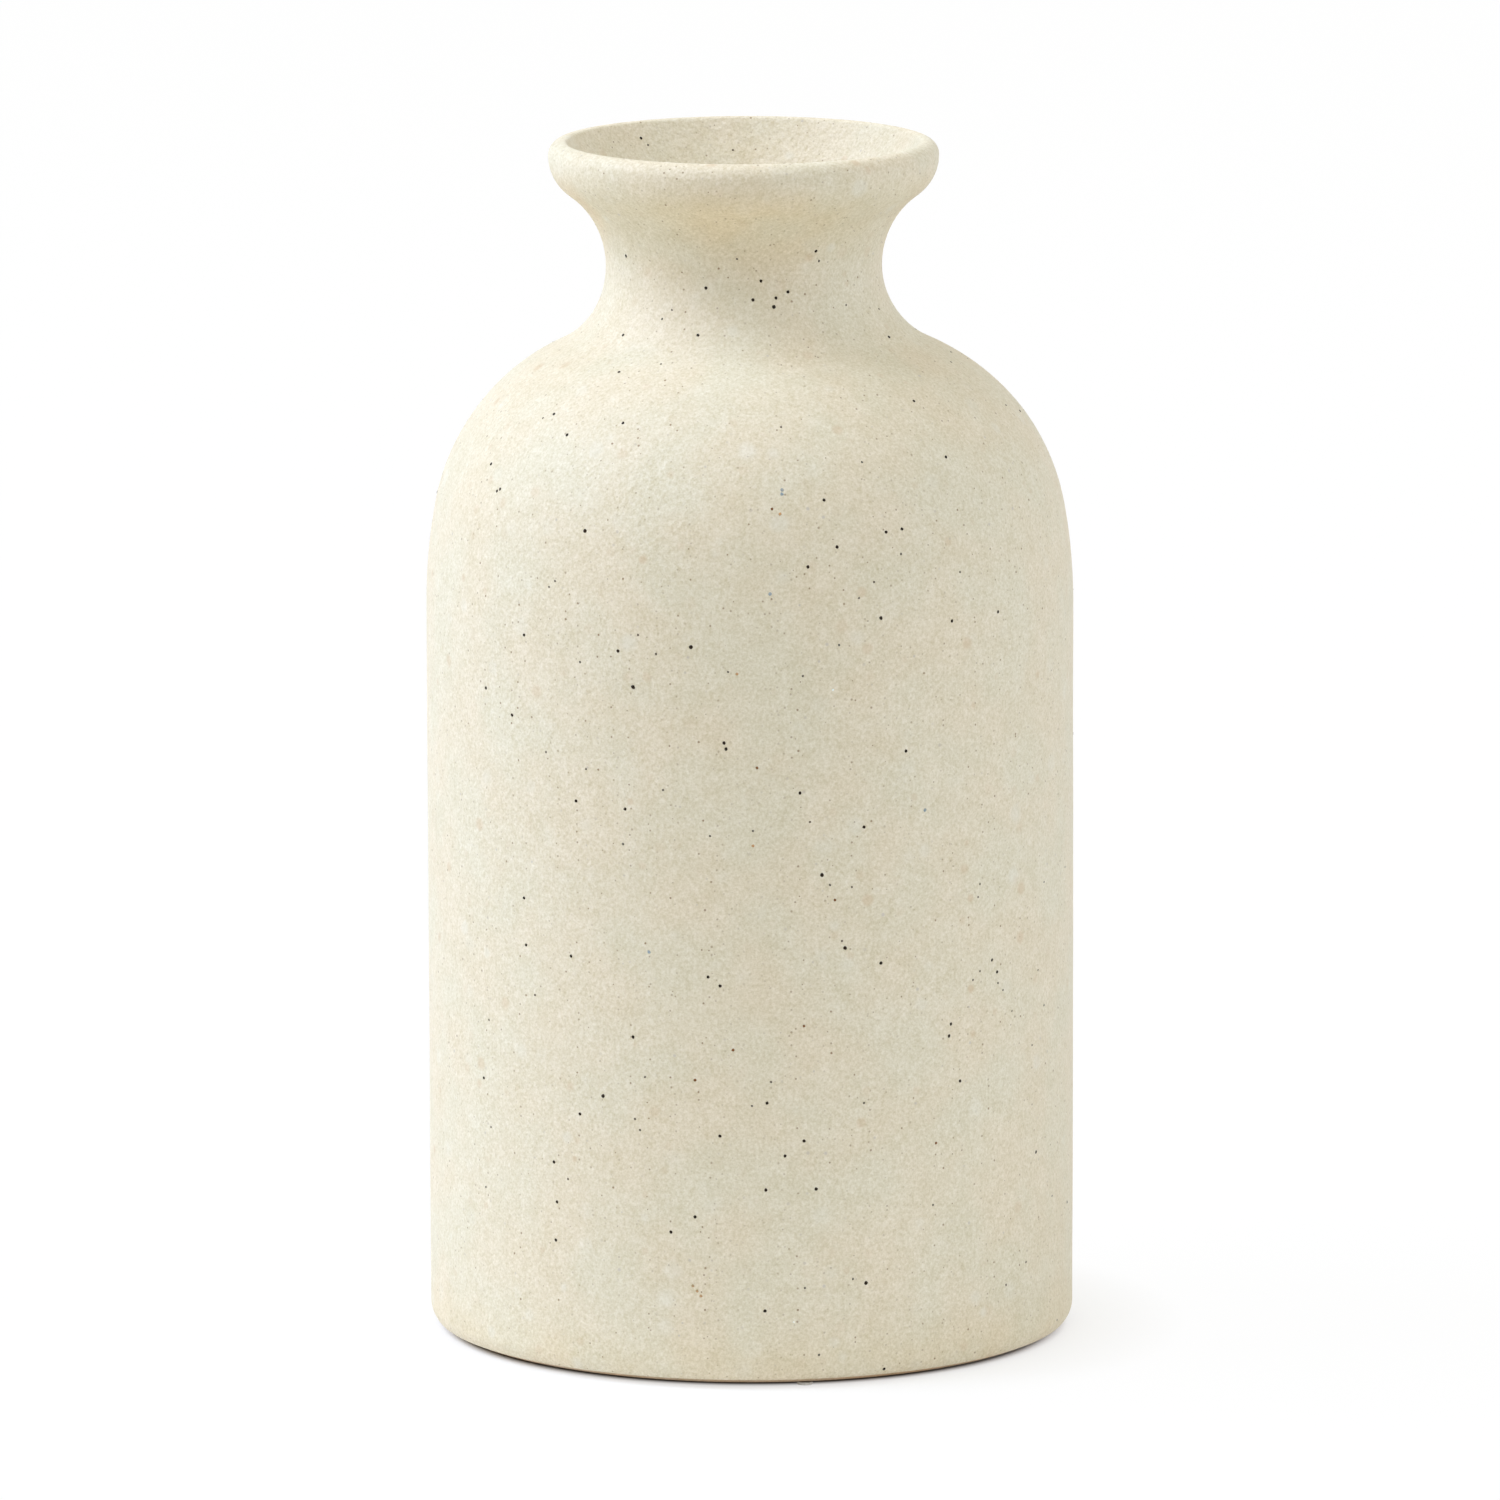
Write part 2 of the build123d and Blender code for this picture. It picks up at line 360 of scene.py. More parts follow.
def mottle_group():
    """What the kiln leaves in a surface: a faint change of tint, soft clouds and a fine grain."""
    tree, given, result = start_tree(
        "kiln_mottle", "ShaderNodeTree",
        [("Warm", "NodeSocketColor", None), ("Cool", "NodeSocketColor", None),
         ("Patch size", "NodeSocketFloat", 0.014), ("Cloud size", "NodeSocketFloat", 0.004),
         ("Cloud depth", "NodeSocketFloat", 0.1), ("Grain size", "NodeSocketFloat", 0.0008),
         ("Grain depth", "NodeSocketFloat", 0.1), ("Blue swing", "NodeSocketFloat", 1.8)],
        [("Colour", "NodeSocketColor"), ("Patches", "NodeSocketFloat"), ("Clouds", "NodeSocketFloat"),
         ("Grain", "NodeSocketFloat")])
    place = object_place(tree)

    def noise(size, roughness):
        return add(tree, "ShaderNodeTexNoise", {
            "Vector": place, "Scale": maths(tree, "DIVIDE", 1.0, size), "Detail": 1.0,
            "Roughness": roughness}).outputs[0]

    def swing(value, depth):
        return maths(tree, "MULTIPLY", maths(tree, "SUBTRACT", value, 0.5), depth)

    patches = noise(given["Patch size"], roughness=0.5)
    clouds = noise(given["Cloud size"], roughness=0.8)
    grain = noise(given["Grain size"], roughness=1.0)
    warm_share = ramp(tree, patches, *patch_edges, easing="SMOOTHSTEP")
    tinted = blend(tree, warm_share, given["Cool"], given["Warm"])
    whole_swing = maths(tree, "ADD", swing(clouds, given["Cloud depth"]), swing(grain, given["Grain depth"]))
    level = maths(tree, "ADD", whole_swing, 1.0)
    blue_level = maths(tree, "ADD", maths(tree, "MULTIPLY", whole_swing, given["Blue swing"]), 1.0)
    green_level = add(tree, "ShaderNodeMix", {0: green_with_blue, 2: level, 3: blue_level}).outputs[0]
    levels = add(tree, "ShaderNodeCombineColor", {
        "Red": level, "Green": green_level, "Blue": blue_level}).outputs[0]
    tree.links.new(blend(tree, 1.0, tinted, levels, way="MULTIPLY"), result["Colour"])
    tree.links.new(warm_share, result["Patches"])
    tree.links.new(clouds, result["Clouds"])
    tree.links.new(grain, result["Grain"])
    return tree


kiln_mottle = mottle_group()


# Shape of a fleck: its least reach, what chance adds to that and its full core, as shares of its radius or
# reach, then the strength of the faintest and how rare the strong ones are
fleck_least_reach = 0.6
fleck_more_reach = 0.6
fleck_core = 0.4
fleck_faintest = 0.15
fleck_rarity = 3.0


def fleck_group():
    """Grains near the fired surface: soft-edged spots, a few of them strong and most of them faint."""
    tree, given, result = start_tree(
        "flecks", "ShaderNodeTree",
        [("Colour", "NodeSocketColor", None), ("Fleck", "NodeSocketColor", None),
         ("Spacing", "NodeSocketFloat", 0.003), ("Radius", "NodeSocketFloat", 0.0003),
         ("Strength", "NodeSocketFloat", 0.5)],
        [("Colour", "NodeSocketColor")])
    cells = add(tree, "ShaderNodeTexVoronoi", {
        "Vector": object_place(tree), "Scale": maths(tree, "DIVIDE", 1.0, given["Spacing"])})
    chance = add(tree, "ShaderNodeSeparateColor", {0: cells.outputs["Color"]}).outputs
    away = maths(tree, "MULTIPLY", cells.outputs["Distance"], given["Spacing"])
    more = maths(tree, "MULTIPLY", chance["Red"], fleck_more_reach)
    reach = maths(tree, "MULTIPLY", given["Radius"], maths(tree, "ADD", fleck_least_reach, more))
    mask = ramp(tree, away, reach, maths(tree, "MULTIPLY", reach, fleck_core), easing="SMOOTHSTEP")
    rare = maths(tree, "ADD", fleck_faintest, maths(tree, "POWER", chance["Green"], fleck_rarity))
    cover = maths(tree, "MULTIPLY", mask, maths(tree, "MULTIPLY", given["Strength"], rare))
    tree.links.new(blend(tree, cover, given["Colour"], given["Fleck"]), result["Colour"])
    return tree


flecks = fleck_group()


def start_material(name):
    """A new material, its node tree and its main shader."""
    material = bpy.data.materials.new(name)
    material.use_nodes = True
    return material, material.node_tree, material.node_tree.nodes["Principled BSDF"]


def group(tree, source, inputs):
    """A node group placed in a material, with its own values."""
    return add(tree, "ShaderNodeGroup", inputs, node_tree=source).outputs


def flecked(tree, colour, fleck, spacing, radius, strength):
    """A colour with one kind of fleck in it."""
    return group(tree, flecks, {
        "Colour": colour, "Fleck": fleck, "Spacing": spacing, "Radius": radius,
        "Strength": strength})["Colour"]


clay_warm = (0.50, 0.35, 0.21, 1)
clay_cool = (0.52, 0.40, 0.27, 1)
grain_dark = (0.03, 0.02, 0.015, 1)


def bare_clay():
    """Buff stoneware, dry and a little sandy, with fine dark grains."""
    material, tree, shader = start_material("bare_stoneware")
    ground = group(tree, kiln_mottle, {
        "Warm": clay_warm, "Cool": clay_cool, "Patch size": 0.02,
        "Cloud size": 0.003, "Cloud depth": 0.3, "Grain size": 0.0005, "Grain depth": 0.5})
    colour = flecked(tree, ground["Colour"], grain_dark, spacing=0.0018, radius=0.0003, strength=0.9)
    bump = add(tree, "ShaderNodeBump", {"Height": ground["Grain"], "Strength": 0.5, "Distance": 0.0002})
    tree.links.new(colour, shader.inputs["Base Color"])
    tree.links.new(bump.outputs[0], shader.inputs["Normal"])
    shader.inputs["Roughness"].default_value = 0.9
    return material


clay_points = under_skin(wall_thickness - glaze_thickness, *inside)
clay_points += under_skin(glaze_thickness, *backwards(glazed_skin), bare_corner[::-1])
clay_points += under_skin(0, *backwards(foot_ring))
clay_body = turned_piece("clay_body", clay_points, bare_clay())
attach(clay_body, "root")
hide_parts("stoneware_body")

# Outer glaze
# A matt cream glaze, sprayed over the outside and the lip and down to the throat, and wiped off at the foot.
# It has an orange-peel grain, tan mottling and flecks of iron, and the clay toasts it where it lies thin at
# the foot. Under the lip it is warmed and darkened, partly by tan patches and partly by painted warm shade.

glaze_warm = (0.697, 0.619, 0.467, 1)
glaze_cool = (0.680, 0.627, 0.481, 1)
glaze_rough = (0.5, 0.7)
peel_size = 0.0016
iron_fleck = (0.24, 0.15, 0.07, 1)

# Kinds of fleck in the glaze, one over another: colour, spacing, radius and strength
glaze_flecks = {
    "pepper": (iron_fleck, 0.0012, 0.00026, 0.8),
    "iron": (iron_fleck, 0.0034, 0.00036, 0.9),
    "rutile": ((0.56, 0.40, 0.23, 1), 0.0055, 0.0014, 0.4),
    "bloom": ((0.76, 0.75, 0.67, 1), 0.007, 0.0022, 0.3),
    "chalk": ((0.86, 0.84, 0.76, 1), 0.0034, 0.0004, 0.5),
}

# Toasting at the foot, and under the lip tan patches with painted warm shade: its tint, the heights where
# its bands fade in and out, its strength at the foot and in patches, and the radius of the middle of the
# wall, which tells the neck's outside from its inside
toast_and_shade_tint = (0.97, 0.90, 0.74, 1)
lip_band_start = (0.196, 0.209)
lip_band_end = (0.219, 0.211)
foot_band = (0.014, 0.003)
foot_toast = 0.4
least_toast_and_shade = 0.4
patch_toast_and_shade = 0.35
throat_mid_wall = neck_radius - wall_thickness / 2
lip_mid_wall = 0.0323


def axis_distance(tree, place, stretch=1.0):
    """Distance of a place from the Z axis, with X shrunk by a stretch."""
    shrink = (1 / stretch, 1, 0)
    flat = add(tree, "ShaderNodeVectorMath", {0: place, 1: shrink}, operation="MULTIPLY").outputs[0]
    return add(tree, "ShaderNodeVectorMath", {0: flat}, operation="LENGTH").outputs["Value"]


def toast_and_shade_share(tree, patches):
    """How strongly the glaze is toasted at the foot, and tinted round the outside of the neck by tan patches
    and painted warm shade.
    """
    place = object_place(tree)
    rise = add(tree, "ShaderNodeSeparateXYZ", {0: place}).outputs["Z"]

    def height_share(start, end):
        return ramp(tree, rise, start, end, easing="SMOOTHSTEP")

    from_neck = add(tree, "ShaderNodeVectorMath", {0: place, 1: (axis_lean + neck_set, 0, 0)}).outputs[0]
    mid_wall = ramp(tree, rise, throat_level, lip_level, throat_mid_wall, lip_mid_wall)
    outside = maths(tree, "GREATER_THAN", axis_distance(tree, from_neck), mid_wall)
    # The band where the lip shades the neck: partly tan patches, partly painted warm shade.
    under_lip = maths(tree, "MULTIPLY", height_share(*lip_band_start), height_share(*lip_band_end))
    under_lip = maths(tree, "MULTIPLY", under_lip, outside)
    thin_and_shaded = maths(tree, "MAXIMUM", under_lip, maths(tree, "MULTIPLY", height_share(*foot_band), foot_toast))
    uneven = maths(tree, "ADD", least_toast_and_shade, maths(tree, "MULTIPLY", patches, patch_toast_and_shade))
    return maths(tree, "MULTIPLY", thin_and_shaded, uneven)


def matt_glaze():
    """Matt cream glaze: grained like an eggshell, with faint flecks of iron and rutile under its surface."""
    material, tree, shader = start_material("matt_glaze")
    ground = group(tree, kiln_mottle, {
        "Warm": glaze_warm, "Cool": glaze_cool, "Patch size": 0.014,
        "Cloud size": 0.004, "Cloud depth": 0.14, "Grain size": 0.0006, "Grain depth": 0.45})
    # The band under the lip is partly tan patches and partly painted warm shade; the band at the foot is
    # toasted glaze.
    colour = blend(tree, toast_and_shade_share(tree, ground["Patches"]), ground["Colour"], toast_and_shade_tint, way="MULTIPLY")
    for kind in glaze_flecks.values():
        colour = flecked(tree, colour, *kind)
    peel = add(tree, "ShaderNodeTexNoise", {
        "Vector": object_place(tree), "Scale": 1 / peel_size, "Detail": 2.0, "Roughness": 0.6})
    bump = add(tree, "ShaderNodeBump", {"Height": peel.outputs[0], "Strength": 0.8, "Distance": 0.0003})
    rough = ramp(tree, ground["Clouds"], 0.0, 1.0, *glaze_rough)
    tree.links.new(colour, shader.inputs["Base Color"])
    tree.links.new(rough, shader.inputs["Roughness"])
    tree.links.new(bump.outputs[0], shader.inputs["Normal"])
    shader.inputs["Specular IOR Level"].default_value = 0.3
    shader.inputs["Sheen Weight"].default_value = 0.07
    return material


glaze_points = under_skin(0, *glazed_skin) + under_skin(glaze_thickness, *backwards(glazed_skin))
glaze_points.append(glaze_points[0])
glaze_coat = turned_piece("glaze_coat", glaze_points, matt_glaze())
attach(glaze_coat, "root")
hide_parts("outer_glaze")

# Lining glaze
# A thin satin glaze poured in and drained, which seals the clay below the throat so that the vase holds
# water. It is the same cream as the outside, a little smoother.


def lining():
    """Satin cream lining with faint flecks."""
    material, tree, shader = start_material("lining_glaze")
    ground = group(tree, kiln_mottle, {
        "Warm": glaze_warm, "Cool": glaze_cool, "Patch size": 0.03,
        "Cloud size": 0.006, "Cloud depth": 0.1, "Grain size": 0.0012, "Grain depth": 0.12})
    colour = flecked(tree, ground["Colour"], iron_fleck, spacing=0.0028, radius=0.0004, strength=0.9)
    bump = add(tree, "ShaderNodeBump", {"Height": ground["Clouds"], "Strength": 0.15, "Distance": 0.0002})
    tree.links.new(colour, shader.inputs["Base Color"])
    tree.links.new(bump.outputs[0], shader.inputs["Normal"])
    shader.inputs["Roughness"].default_value = 0.35
    return material


lining_points = under_skin(wall_thickness, *inside)
lining_points += under_skin(wall_thickness - glaze_thickness, *backwards(inside))
lining_coat = turned_piece("lining_coat", lining_points, lining())
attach(lining_coat, "root")
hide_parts("liner_glaze")

# Iron specks
# Grains of iron in the clay, which bleed up through the glaze in the firing and stay on it as flat beads.
# The front has them where the photograph shows the plainest ones; the hidden sides have as many, scattered.

photo_width = 1500
focal_pixels = 13898.2
camera_place = Vector((-0.00036, -2.5207, 0.55936 + foot_level))
camera_pitch = math.radians(10.1811)

iron_black = (0.024, 0.016, 0.009, 1)
iron_brown = (0.20, 0.09, 0.035, 1)
ash_grey = (0.12, 0.105, 0.08, 1)
cobalt_grey = (0.30, 0.36, 0.40, 1)
rutile_tan = (0.45, 0.30, 0.16, 1)
chalk_white = (0.90, 0.92, 0.90, 1)

# Plain specks of the photograph by kind: width, tint, and their pixels across and down, read one by one
photographed_specks = [
    (0.00073, iron_black, [
        (774, 307), (585, 531), (633, 687), (691, 647), (881, 618), (822, 875), (845, 948),
        (603, 1096), (866, 1283)]),
    (0.00060, iron_black, [
        (641, 138), (626, 256), (706, 288), (623, 335), (698, 335), (816, 251), (761, 281),
        (776, 298), (753, 300), (788, 292), (889, 337), (619, 372), (554, 414), (567, 435),
        (623, 423), (491, 464), (497, 491), (500, 489), (824, 500), (837, 547), (808, 567),
        (914, 401), (946, 457), (1020, 411), (902, 529), (886, 532), (524, 635), (486, 688),
        (512, 715), (618, 651), (724, 743), (726, 749), (952, 621), (998, 612), (906, 751),
        (576, 801), (625, 809), (524, 898), (526, 945), (571, 956), (800, 793), (864, 827),
        (708, 977), (720, 986), (881, 963), (992, 960), (997, 972), (951, 1024), (949, 1036),
        (633, 1037), (484, 1078), (580, 1114), (554, 1162), (557, 1202), (556, 1240), (671, 1232),
        (767, 1103), (720, 1136), (804, 1141), (785, 1156), (766, 1190), (816, 1189), (695, 1217),
        (960, 1081), (1036, 1152), (1067, 1202), (765, 1311), (884, 1369)]),
    (0.00043, ash_grey, [
        (648, 145), (733, 150), (737, 259), (846, 305), (879, 309), (819, 261), (672, 310),
        (662, 319), (661, 364), (543, 418), (781, 427), (862, 462), (874, 582), (1006, 405),
        (951, 352), (951, 362), (901, 554), (960, 572), (555, 581), (549, 587), (580, 662),
        (638, 635), (586, 769), (546, 752), (656, 654), (728, 672), (803, 676), (839, 645),
        (859, 598), (663, 790), (623, 844), (535, 995), (489, 1020), (710, 836), (753, 831),
        (810, 822), (830, 885), (852, 887), (842, 941), (980, 971), (973, 980), (998, 983),
        (1003, 990), (1038, 970), (980, 884), (978, 897), (1044, 882), (1065, 867), (1044, 1005),
        (1012, 1011), (645, 1077), (635, 1119), (640, 1130), (491, 1127), (568, 1179),
        (486, 1187), (771, 1082), (752, 1106), (864, 1103), (853, 1279), (805, 1288),
        (1032, 1045), (1052, 1196), (933, 1205), (1026, 1262), (1006, 1285), (819, 1355),
        (1057, 1320)]),
    (0.00053, iron_brown, [
        (772, 509), (757, 768), (835, 900), (804, 1026), (695, 1080), (733, 1050), (936, 1143)]),
    (0.00063, cobalt_grey, [(782, 490), (782, 494), (770, 594), (925, 810), (649, 952)]),
    (0.00055, rutile_tan, [(737, 674), (753, 846), (780, 514), (693, 1286), (697, 1291), (701, 1296)]),
    (0.00040, chalk_white, [(833, 690), (794, 1322)]),
]
hidden_specks_per_square_metre = 6700
speck_flatness = 0.3

# Chance in the specks: how far they stretch and sway, the size and middle of the noise that makes their
# edges ragged, and how much more of the hidden ones are narrow and dark than wide and light
speck_stretch = (0.8, 1.2)
speck_sway = 0.4
ragged_size = 0.0004
noise_middle = (0.5, 0.5, 0.5)
narrow_skew = 2.0
dark_skew = 3.0

# How much of its own cell of the skin's map each speck fills
map_cell_fill = 0.8


def photo_ray(across, down):
    """Direction from the camera through one pixel of the photograph."""
    sine, cosine = math.sin(camera_pitch), math.cos(camera_pitch)
    aside = (across - photo_width / 2) / focal_pixels
    rise = (photo_width / 2 - down) / focal_pixels
    return Vector((aside, cosine + rise * sine, rise * cosine - sine))


def mark_specks(name, skin):
    """An object with one point on the skin for each photographed speck, which keeps its width and tint."""
    corners = [vertex.co for vertex in skin.data.vertices]
    surface = BVHTree.FromPolygons(corners, [face.vertices for face in skin.data.polygons])
    places, widths, tints = [], [], []
    for width, tint, pixels in photographed_specks:
        for across, down in pixels:
            places.append(surface.ray_cast(camera_place, photo_ray(across, down))[0])
            widths.append(width)
            tints += tint
    mesh = bpy.data.meshes.new(name)
    mesh.from_pydata(places, [], [])
    mesh.attributes.new("width", "FLOAT", "POINT").data.foreach_set("value", widths)
    mesh.attributes.new("tint", "FLOAT_COLOR", "POINT").data.foreach_set("color", tints)
    marks = bpy.data.objects.new(name, mesh)
    bpy.context.scene.collection.objects.link(marks)
    return marks


def speck_tree():
    """Sets flat beads on a skin: at marked points, and scattered where the skin faces away from -Y."""
    tree, given, result = start_tree(
        "specks_on_skin", "GeometryNodeTree",
        [("Skin", "NodeSocketGeometry", None), ("Marks", "NodeSocketObject", None),
         ("Density", "NodeSocketFloat", 1.0), ("Least width", "NodeSocketFloat", 0.0),
         ("Greatest width", "NodeSocketFloat", 1.0), ("Dark", "NodeSocketColor", None),
         ("Light", "NodeSocketColor", None), ("Flatness", "NodeSocketFloat", 1.0),
         ("Seed", "NodeSocketInt", 0), ("Material", "NodeSocketMaterial", None)],
        [("Geometry", "NodeSocketGeometry")])
    skin = given["Skin"]

    def chance(least, greatest, step):
        seed = maths(tree, "ADD", given["Seed"], step)
        drawn = add(tree, "FunctionNodeRandomValue", {"Min": least, "Max": greatest, "Seed": seed})
        return drawn.outputs["Value"]

    def keep(geometry, name, value, kind, domain="POINT"):
        return add(tree, "GeometryNodeStoreNamedAttribute", {
            "Geometry": geometry, "Name": name, "Value": value}, data_type=kind, domain=domain).outputs[0]

    def read(name, kind):
        kept = add(tree, "GeometryNodeInputNamedAttribute", {"Name": name}, data_type=kind)
        return kept.outputs["Attribute"]

    place = add(tree, "GeometryNodeInputPosition").outputs[0]
    normal = add(tree, "GeometryNodeInputNormal").outputs["Normal"]
    radial = add(tree, "ShaderNodeVectorMath", {0: place, 1: (1, 1, 0)}, operation="MULTIPLY").outputs[0]
    facing = add(tree, "ShaderNodeVectorMath", {0: normal, 1: radial}, operation="DOT_PRODUCT")
    outwards = facing.outputs["Value"]
    back = add(tree, "ShaderNodeSeparateXYZ", {0: place}).outputs["Y"]
    hidden = maths(tree, "GREATER_THAN", maths(tree, "MULTIPLY", back, outwards), 0.0)
    scatter = add(tree, "GeometryNodeDistributePointsOnFaces", {
        "Mesh": skin, "Selection": hidden, "Density": given["Density"],
        "Seed": given["Seed"]}).outputs["Points"]
    spread = maths(tree, "SUBTRACT", given["Greatest width"], given["Least width"])
    skewed = maths(tree, "MULTIPLY", maths(tree, "POWER", chance(0.0, 1.0, step=1.0), narrow_skew), spread)
    scatter = keep(scatter, "width", maths(tree, "ADD", skewed, given["Least width"]), "FLOAT")
    lightness = maths(tree, "POWER", chance(0.0, 1.0, step=2.0), dark_skew)
    scatter = keep(scatter, "tint", blend(tree, lightness, given["Dark"], given["Light"]), "FLOAT_COLOR")
    marks = add(tree, "GeometryNodeObjectInfo", {"Object": given["Marks"]}).outputs["Geometry"]
    marked = add(tree, "GeometryNodeMeshToPoints", {"Mesh": marks}).outputs[0]
    points = add(tree, "GeometryNodeJoinGeometry", {0: scatter})
    tree.links.new(marked, points.inputs[0])

    near = add(tree, "GeometryNodeSampleNearestSurface", {"Mesh": skin, "Value": normal},
               data_type="FLOAT_VECTOR")
    upright = add(tree, "FunctionNodeAlignRotationToVector", {"Vector": near.outputs["Value"]}, axis="Z")
    spin = add(tree, "ShaderNodeCombineXYZ", {"Z": chance(0.0, math.tau, step=3.0)}).outputs[0]
    turn = add(tree, "FunctionNodeRotateRotation", {"Rotation": upright.outputs[0], "Rotate By": spin},
               rotation_space="LOCAL")
    width = read("width", "FLOAT")
    scale = add(tree, "ShaderNodeCombineXYZ", {
        "X": maths(tree, "MULTIPLY", width, chance(*speck_stretch, step=4.0)),
        "Y": maths(tree, "MULTIPLY", width, chance(*speck_stretch, step=5.0)),
        "Z": maths(tree, "MULTIPLY", width, given["Flatness"])}).outputs[0]
    ball = add(tree, "GeometryNodeMeshUVSphere", {"Segments": 8, "Rings": 4, "Radius": 0.5}).outputs["Mesh"]
    bead = keep(ball, "spot", place, "FLOAT_VECTOR")
    beads = add(tree, "GeometryNodeInstanceOnPoints", {
        "Points": points.outputs[0], "Instance": bead, "Rotation": turn.outputs[0],
        "Scale": scale}).outputs[0]
    index = add(tree, "GeometryNodeInputIndex").outputs["Index"]
    numbered = keep(beads, "cell", index, "INT", "INSTANCE")
    whole = add(tree, "GeometryNodeRealizeInstances", {"Geometry": numbered}).outputs[0]

    ragged = add(tree, "ShaderNodeTexNoise", {"Vector": place, "Scale": 1 / ragged_size}).outputs["Color"]
    sway = add(tree, "ShaderNodeVectorMath", {0: ragged, 1: noise_middle}, operation="SUBTRACT").outputs[0]
    reach = maths(tree, "MULTIPLY", width, speck_sway)
    offset = add(tree, "ShaderNodeVectorMath", {0: sway, "Scale": reach}, operation="SCALE").outputs[0]
    whole = add(tree, "GeometryNodeSetPosition", {"Geometry": whole, "Offset": offset}).outputs[0]

    count = add(tree, "GeometryNodeAttributeDomainSize", {"Geometry": points.outputs[0]},
                component="POINTCLOUD")
    side_cells = maths(tree, "CEIL", maths(tree, "SQRT", count.outputs["Point Count"]))
    cell = read("cell", "INT")
    column = maths(tree, "MODULO", cell, side_cells)
    row = maths(tree, "FLOOR", maths(tree, "DIVIDE", cell, side_cells))
    spot = add(tree, "ShaderNodeSeparateXYZ", {0: read("spot", "FLOAT_VECTOR")}).outputs

    def map_across(line, along):
        inside_cell = maths(tree, "ADD", maths(tree, "MULTIPLY", along, map_cell_fill), 0.5)
        return maths(tree, "DIVIDE", maths(tree, "ADD", line, inside_cell), side_cells)

    skin_map = add(tree, "ShaderNodeCombineXYZ", {
        "X": map_across(column, spot["X"]), "Y": map_across(row, spot["Y"])}).outputs[0]
    mapped = keep(whole, "OFBake", skin_map, "FLOAT2", "CORNER")
    smooth = add(tree, "GeometryNodeSetShadeSmooth", {"Geometry": mapped}).outputs[0]
    plain = add(tree, "GeometryNodeRealizeInstances", {"Geometry": smooth}).outputs[0]
    clad = add(tree, "GeometryNodeSetMaterial", {"Geometry": plain, "Material": given["Material"]})
    tree.links.new(clad.outputs[0], result["Geometry"])
    return tree


bead_rough = (0.4, 0.75)


def iron_bead():
    """Iron that has melted into the glaze: each bead in its own tint, a little uneven, duller than glass."""
    material, tree, shader = start_material("iron_bead")
    tint = add(tree, "ShaderNodeAttribute", attribute_name="tint").outputs["Color"]
    ground = group(tree, kiln_mottle, {"Warm": (1.15, 1.0, 0.85, 1), "Cool": (0.9, 1.0, 1.05, 1),
                                       "Patch size": 0.0006, "Cloud size": 0.0003, "Cloud depth": 0.5,
                                       "Grain size": 0.0001, "Grain depth": 0.3})
    rough = ramp(tree, ground["Clouds"], 0.0, 1.0, *bead_rough)
    tree.links.new(blend(tree, 1.0, tint, ground["Colour"], way="MULTIPLY"), shader.inputs["Base Color"])
    tree.links.new(rough, shader.inputs["Roughness"])
    shader.inputs["Specular IOR Level"].default_value = 0.15
    return material


bead_finish = iron_bead()
iron_specks = turned_piece("iron_specks", under_skin(0, *glazed_skin), bead_finish)
speck_marks = mark_specks("speck_marks", iron_specks)
settle(iron_specks, speck_tree(), {
    "Marks": speck_marks, "Density": hidden_specks_per_square_metre, "Least width": 0.00025,
    "Greatest width": 0.00075, "Dark": iron_black, "Light": iron_brown, "Flatness": speck_flatness,
    "Seed": 7, "Material": bead_finish})
bpy.data.objects.remove(speck_marks)
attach(iron_specks, "root")

# Clear pads
# Soft clear polyurethane discs stuck under the foot ring so that the clay doesn't scratch the table.
# Each is die-cut with a film of adhesive on its upper face and pressed on by hand.

haze_size = 0.002


def pad_plastic(name, colour, milkiness, roughness):
    """Clear soft plastic with an uneven milky haze."""
    material, tree, shader = start_material(name)
    haze = add(tree, "ShaderNodeTexNoise", {
        "Vector": object_place(tree), "Scale": 1 / haze_size, "Detail": 2.0})
    tree.links.new(ramp(tree, haze.outputs[0], 0.0, 1.0, *roughness), shader.inputs["Roughness"])
    shader.inputs["Base Color"].default_value = colour
    shader.inputs["IOR"].default_value = 1.49
    shader.inputs["Transmission Weight"].default_value = 1 - milkiness
    return material


pad_finish = pad_plastic("clear_pad", (0.96, 0.97, 0.96, 1), milkiness=0.88, roughness=(0.15, 0.35))
film_finish = pad_plastic("pad_adhesive", (0.90, 0.87, 0.78, 1), milkiness=0.4, roughness=(0.4, 0.7))
for place in ("front", "right", "back", "left"):
    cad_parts["foot_pad_" + place].data.materials[0] = pad_finish
    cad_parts["pad_adhesive_" + place].data.materials[0] = film_finish

# Floor
# A white studio sweep, lit up to white, so that it lights the foot from below. Close to the vase a share of
# its own shading shows, which keeps the vase's faint shadow, and under the foot it stays dark.

floor_half = 6.0

# Where it is dark, white and free of shadow, from the axis out, with the dark patch a little wider in X
floor_dark_radius = 0.0540
floor_white_radius = 0.0565
floor_far_radius = 0.078
floor_dark_stretch = 1.036
near_shading_share = 0.33
far_shading_share = 0.03

# The light that it sends up to the vase, and the radii between which that fades out
floor_lift = 0.12
lift_near_radius = 0.08
lift_far_radius = 0.25

floor_mesh = bpy.data.meshes.new("floor")
corners = [(-floor_half, -floor_half, 0), (floor_half, -floor_half, 0),
           (floor_half, floor_half, 0), (-floor_half, floor_half, 0)]
floor_mesh.from_pydata(corners, [], [(0, 1, 2, 3)])
floor = bpy.data.objects.new("floor", floor_mesh)
bpy.context.scene.collection.objects.link(floor)


def rays_that_see(tree):
    """One on rays from the camera, in gloss and through glass, and zero on rays that only carry light."""
    rays = add(tree, "ShaderNodeLightPath").outputs
    straight = maths(tree, "MAXIMUM", rays["Is Camera Ray"], rays["Is Glossy Ray"])
    return maths(tree, "MAXIMUM", straight, rays["Is Transmission Ray"])


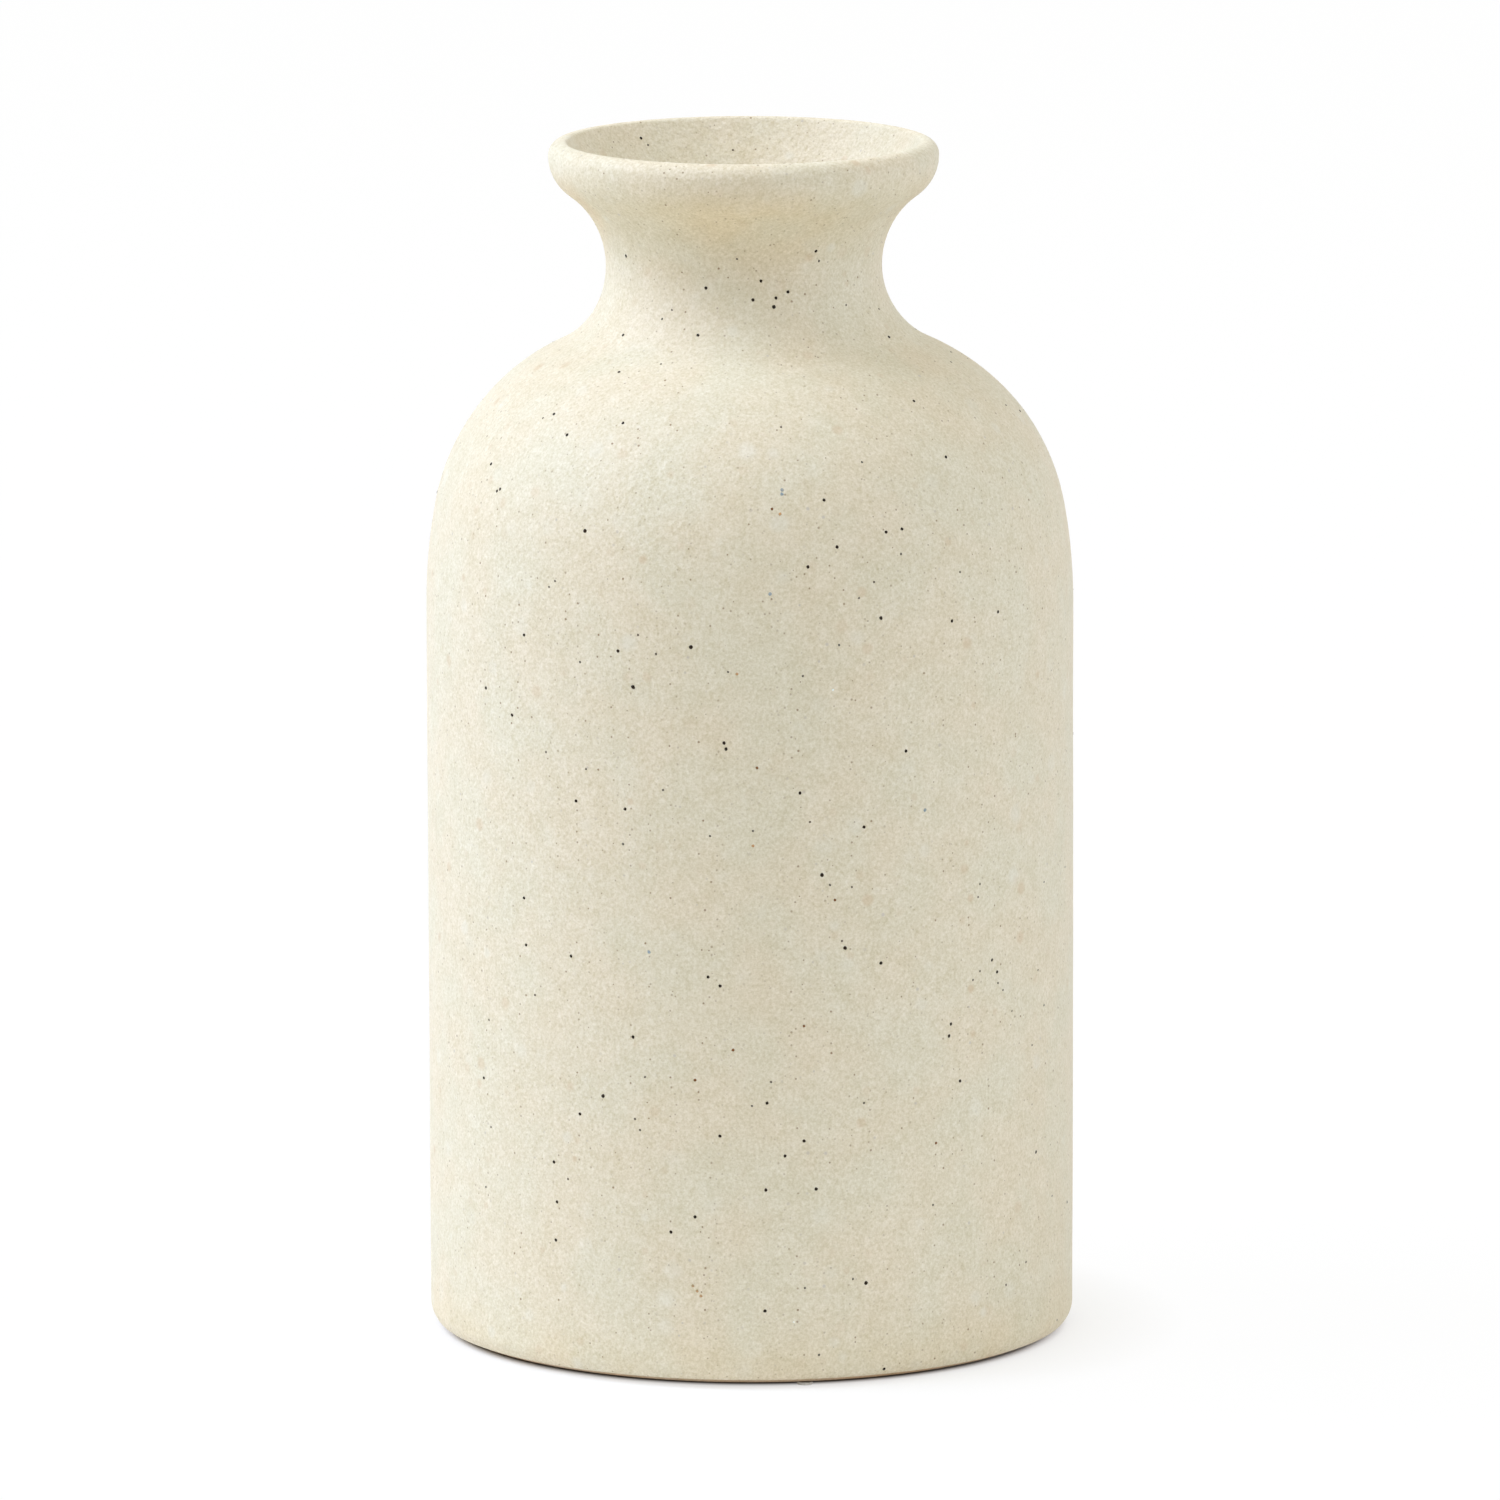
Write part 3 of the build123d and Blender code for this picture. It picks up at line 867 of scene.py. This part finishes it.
def floor_paper():
    """White paper, lit to white where it is seen, but not under the vase."""
    material, tree, shader = start_material("floor_paper")
    shader.inputs["Base Color"].default_value = (0.9, 0.9, 0.9, 1)
    shader.inputs["Roughness"].default_value = 1.0
    shader.inputs["Specular IOR Level"].default_value = 0.0
    away = axis_distance(tree, object_place(tree), floor_dark_stretch)
    open_floor = ramp(tree, away, floor_dark_radius, floor_white_radius)
    white_share = ramp(tree, away, floor_white_radius, floor_far_radius,
                       1 - near_shading_share, 1 - far_shading_share)
    seen = rays_that_see(tree)
    glow = maths(tree, "MULTIPLY", maths(tree, "MULTIPLY", open_floor, white_share), seen)
    nearness = ramp(tree, away, lift_far_radius, lift_near_radius, 0.0, floor_lift)
    unseen = maths(tree, "SUBTRACT", 1.0, seen)
    lift = maths(tree, "MULTIPLY", maths(tree, "MULTIPLY", nearness, open_floor), unseen)
    shader.inputs["Emission Color"].default_value = (1, 1, 1, 1)
    tree.links.new(lift, shader.inputs["Emission Strength"])
    white = add(tree, "ShaderNodeEmission").outputs[0]
    lit = add(tree, "ShaderNodeMixShader", {0: glow, 1: shader.outputs[0], 2: white})
    tree.links.new(lit.outputs[0], tree.nodes["Material Output"].inputs["Surface"])
    return material


floor_mesh.materials.append(floor_paper())

# Light
# A large soft box hangs high at the left, and a weaker one at the right fills the shaded side. White walls
# and a white ceiling light the rest, above a darker stretch all round at the height of the table.

ceiling_level = 0.735
wall_dark_rise = 0.15
wall_light_rise = 0.45
warm_white = (1.06, 1.0, 0.82, 1)
cool_white = (0.865, 0.985, 1.25)
lamp_aim = Vector((0, 0, 0.12))

world = bpy.data.worlds.new("studio")
bpy.context.scene.world = world
world.use_nodes = True
surroundings = world.node_tree
back_light = surroundings.nodes["Background"]
seen = rays_that_see(surroundings)
bearing_seen = add(surroundings, "ShaderNodeTexCoord").outputs["Generated"]
rise_seen = add(surroundings, "ShaderNodeSeparateXYZ", {0: bearing_seen}).outputs["Z"]
room_level = ramp(surroundings, rise_seen, wall_dark_rise, wall_light_rise, 0.0, ceiling_level,
                  easing="SMOOTHSTEP")
level = ramp(surroundings, seen, 0.0, 1.0, room_level, 1.0)
tone = blend(surroundings, seen, warm_white, (1, 1, 1, 1))
surroundings.links.new(level, back_light.inputs["Strength"])
surroundings.links.new(tone, back_light.inputs["Color"])


def soft_box(name, place, size, watts):
    """A square studio lamp of a size, at a place, aimed at the vase."""
    lamp = bpy.data.lights.new(name, "AREA")
    lamp.shape = "SQUARE"
    lamp.size = size
    lamp.energy = watts
    lamp.color = cool_white
    stand = bpy.data.objects.new(name, lamp)
    aim = (lamp_aim - Vector(place)).to_track_quat("-Z", "Y")
    stand.matrix_world = Matrix.Translation(place) @ aim.to_matrix().to_4x4()
    bpy.context.scene.collection.objects.link(stand)


soft_box("key_box", place=(-1.556, 0.0, 1.676), size=1.375, watts=44)
soft_box("fill_box", place=(2.51, -0.66, 1.63), size=1.9, watts=29)

# Camera
# A long lens well back from the vase and above it, level from side to side, as the photograph was taken.

sensor_width = 36
camera_data = bpy.data.cameras.new("photo_camera")
camera_data.sensor_width = sensor_width
camera_data.lens = sensor_width * focal_pixels / photo_width
camera = bpy.data.objects.new("photo_camera", camera_data)
camera.matrix_world = Matrix.Translation(camera_place) @ Matrix.Rotation(math.pi / 2 - camera_pitch, 4, "X")
bpy.context.scene.collection.objects.link(camera)
bpy.context.scene.camera = camera
bpy.context.scene.view_settings.view_transform = "Standard"
